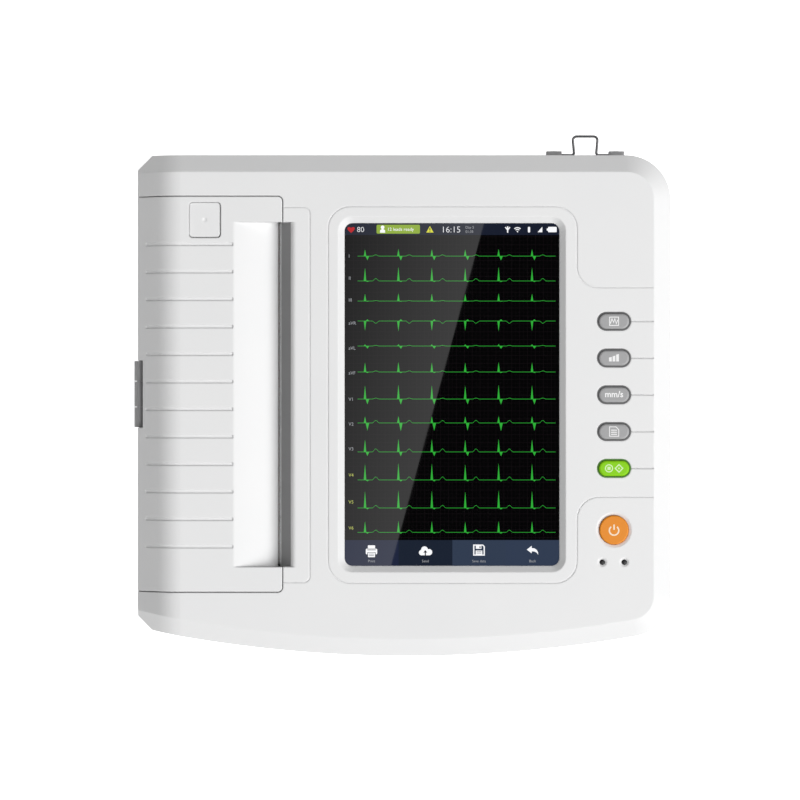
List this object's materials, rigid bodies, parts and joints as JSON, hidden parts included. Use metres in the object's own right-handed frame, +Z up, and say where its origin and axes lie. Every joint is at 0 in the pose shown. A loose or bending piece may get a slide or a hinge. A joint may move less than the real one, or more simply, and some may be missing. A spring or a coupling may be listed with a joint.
{
  "type": "ecg machine",
  "caption": "Flat desktop ECG recorder with a tilting paper cover and print slot on the left, a portrait touch display, a column of keys and a rear cord retainer.",
  "frame": {"origin": "centre of the bounding box in plan, on the plane the rubber feet stand on", "axes": "+Z up, +X to the operator's right, along the longest side, +Y to the rear connectors"},
  "size_m": [0.3402, 0.3314, 0.086],
  "materials": {
    "housing_white": "fine satin moulded ABS",
    "black_rubber": "matt moulded rubber",
    "zinc_steel": "bright zinc plated steel",
    "battery_wrap": "shrink wrap",
    "display_glass": "polished cover glass over a dark panel",
    "lcd_black": "display module",
    "ribbon_amber": "polyimide flexible cable",
    "dark_trim": "dark trim ring",
    "circuit_board": "solder mask",
    "dark_plastic": "moulded",
    "lens_black": "smoked light pipe",
    "tear_grey": "tear strip",
    "hinge_grey": "moulded nylon",
    "platen_rubber": "ground rubber",
    "natural_plastic": "natural acetal",
    "brass": "machined or plated",
    "aluminium_head": "extruded heat sink",
    "motor_black": "black enamel",
    "chart_paper": "thermal paper",
    "card_core": "wound card",
    "chip_black": "chip packages",
    "socket_black": "moulded socket",
    "bail_wire": "dark spring wire",
    "key_grey": "silicone cap, satin",
    "key_green": "silicone cap, satin",
    "power_orange": "silicone cap, satin"
  },
  "bodies": {
    "root": {"upper_housing": "housing_white", "lower_housing": "housing_white", "connector_panels": "housing_white", "rubber_feet": "black_rubber", "housing_screws": "zinc_steel", "panel_screws": "zinc_steel", "battery_cover": "housing_white", "battery_pack": "battery_wrap", "display_glass": "display_glass", "lcd_panel": "lcd_black", "display_bracket": "zinc_steel", "display_cable": "ribbon_amber", "key_surrounds": "dark_trim", "keypad_board": "circuit_board", "key_switches": "dark_plastic", "led_lenses": "lens_black", "tear_bar": "tear_grey", "body_hinge_leaf": "hinge_grey", "hinge_pin": "zinc_steel", "printer_frame": "zinc_steel", "print_head": "aluminium_head", "head_springs": "zinc_steel", "head_cable": "ribbon_amber", "stepper_motor": "motor_black", "idler_axle": "zinc_steel", "paper_tray": "dark_plastic", "paper_web": "chart_paper", "main_board": "circuit_board", "board_components": "chip_black", "power_supply": "zinc_steel", "speaker": "dark_plastic", "patient_connector": "zinc_steel", "mains_inlet": "socket_black", "inlet_pins": "brass", "usb_socket": "zinc_steel", "network_socket": "socket_black", "ground_stud": "brass", "retainer_lugs": "hinge_grey"},
    "cover": {"paper_cover": "housing_white", "cover_hinge_leaf": "hinge_grey", "platen_bearings": "natural_plastic", "button_spring": "zinc_steel"},
    "cover_button": {"release_button": "housing_white"},
    "latch": {"latch_bar": "dark_plastic"},
    "platen": {"platen_roller": "platen_rubber", "platen_shaft": "zinc_steel", "platen_gear": "natural_plastic"},
    "idler": {"idler_gear": "natural_plastic"},
    "pinion": {"motor_pinion": "brass", "motor_shaft": "zinc_steel"},
    "paper": {"paper_roll": "chart_paper", "roll_core": "card_core", "roll_spindle": "dark_plastic"},
    "waveform_key": {"key_waveform": "key_grey"},
    "gain_key": {"key_gain": "key_grey"},
    "speed_key": {"key_speed": "key_grey"},
    "copy_key": {"key_copy": "key_grey"},
    "start_key": {"key_start": "key_green"},
    "power_key": {"power_button": "power_orange"},
    "retainer": {"cord_retainer": "bail_wire"}
  },
  "joints": [
    {"name": "cover_hinge", "type": "hinge", "parent": "root", "child": "cover", "pos_m": [-0.1673, 0, 0.0596], "axis": [0, -1, 0], "range_deg": [0, 105]},
    {"name": "cover_button_press", "type": "slide", "parent": "cover", "child": "cover_button", "axis": [0, 0, -1], "range_m": [0, 0.002], "stiffness_N_per_m": 1500, "deforming": ["button_spring"]},
    {"name": "latch_turn", "type": "hinge", "parent": "cover", "child": "latch", "pos_m": [-0.098, 0, 0.0745], "axis": [0, -1, 0], "range_deg": [0, 5]},
    {"name": "platen_spin", "type": "hinge", "parent": "cover", "child": "platen", "pos_m": [-0.086, 0, 0.062], "axis": [0, 1, 0], "continuous": true},
    {"name": "idler_spin", "type": "hinge", "parent": "root", "child": "idler", "pos_m": [-0.0805, 0.1185, 0.0416], "axis": [0, 1, 0], "continuous": true},
    {"name": "pinion_spin", "type": "hinge", "parent": "root", "child": "pinion", "pos_m": [-0.063, 0.111, 0.037], "axis": [0, 1, 0], "continuous": true},
    {"name": "paper_spin", "type": "hinge", "parent": "root", "child": "paper", "pos_m": [-0.128, 0, 0.042], "axis": [0, 1, 0], "continuous": true},
    {"name": "waveform_key_press", "type": "slide", "parent": "root", "child": "waveform_key", "axis": [0, 0, -1], "range_m": [0, 0.0008], "stiffness_N_per_m": 1800},
    {"name": "gain_key_press", "type": "slide", "parent": "root", "child": "gain_key", "axis": [0, 0, -1], "range_m": [0, 0.0008], "stiffness_N_per_m": 1800},
    {"name": "speed_key_press", "type": "slide", "parent": "root", "child": "speed_key", "axis": [0, 0, -1], "range_m": [0, 0.0008], "stiffness_N_per_m": 1800},
    {"name": "copy_key_press", "type": "slide", "parent": "root", "child": "copy_key", "axis": [0, 0, -1], "range_m": [0, 0.0008], "stiffness_N_per_m": 1800},
    {"name": "start_key_press", "type": "slide", "parent": "root", "child": "start_key", "axis": [0, 0, -1], "range_m": [0, 0.0008], "stiffness_N_per_m": 1800},
    {"name": "power_key_press", "type": "slide", "parent": "root", "child": "power_key", "axis": [0, 0, -1], "range_m": [0, 0.001], "stiffness_N_per_m": 1800},
    {"name": "retainer_swing", "type": "hinge", "parent": "root", "child": "retainer", "pos_m": [0.1174, 0.1529, 0.041], "axis": [1, 0, 0], "range_deg": [-80, 85]}
  ],
  "couplings": [
    {"joint": "latch_turn", "follows": "cover_button_press", "rad_per_m": 38},
    {"joint": "idler_spin", "follows": "platen_spin", "ratio": -0.75},
    {"joint": "pinion_spin", "follows": "platen_spin", "ratio": 1.5},
    {"joint": "paper_spin", "follows": "platen_spin", "ratio": 0.28519}
  ]
}
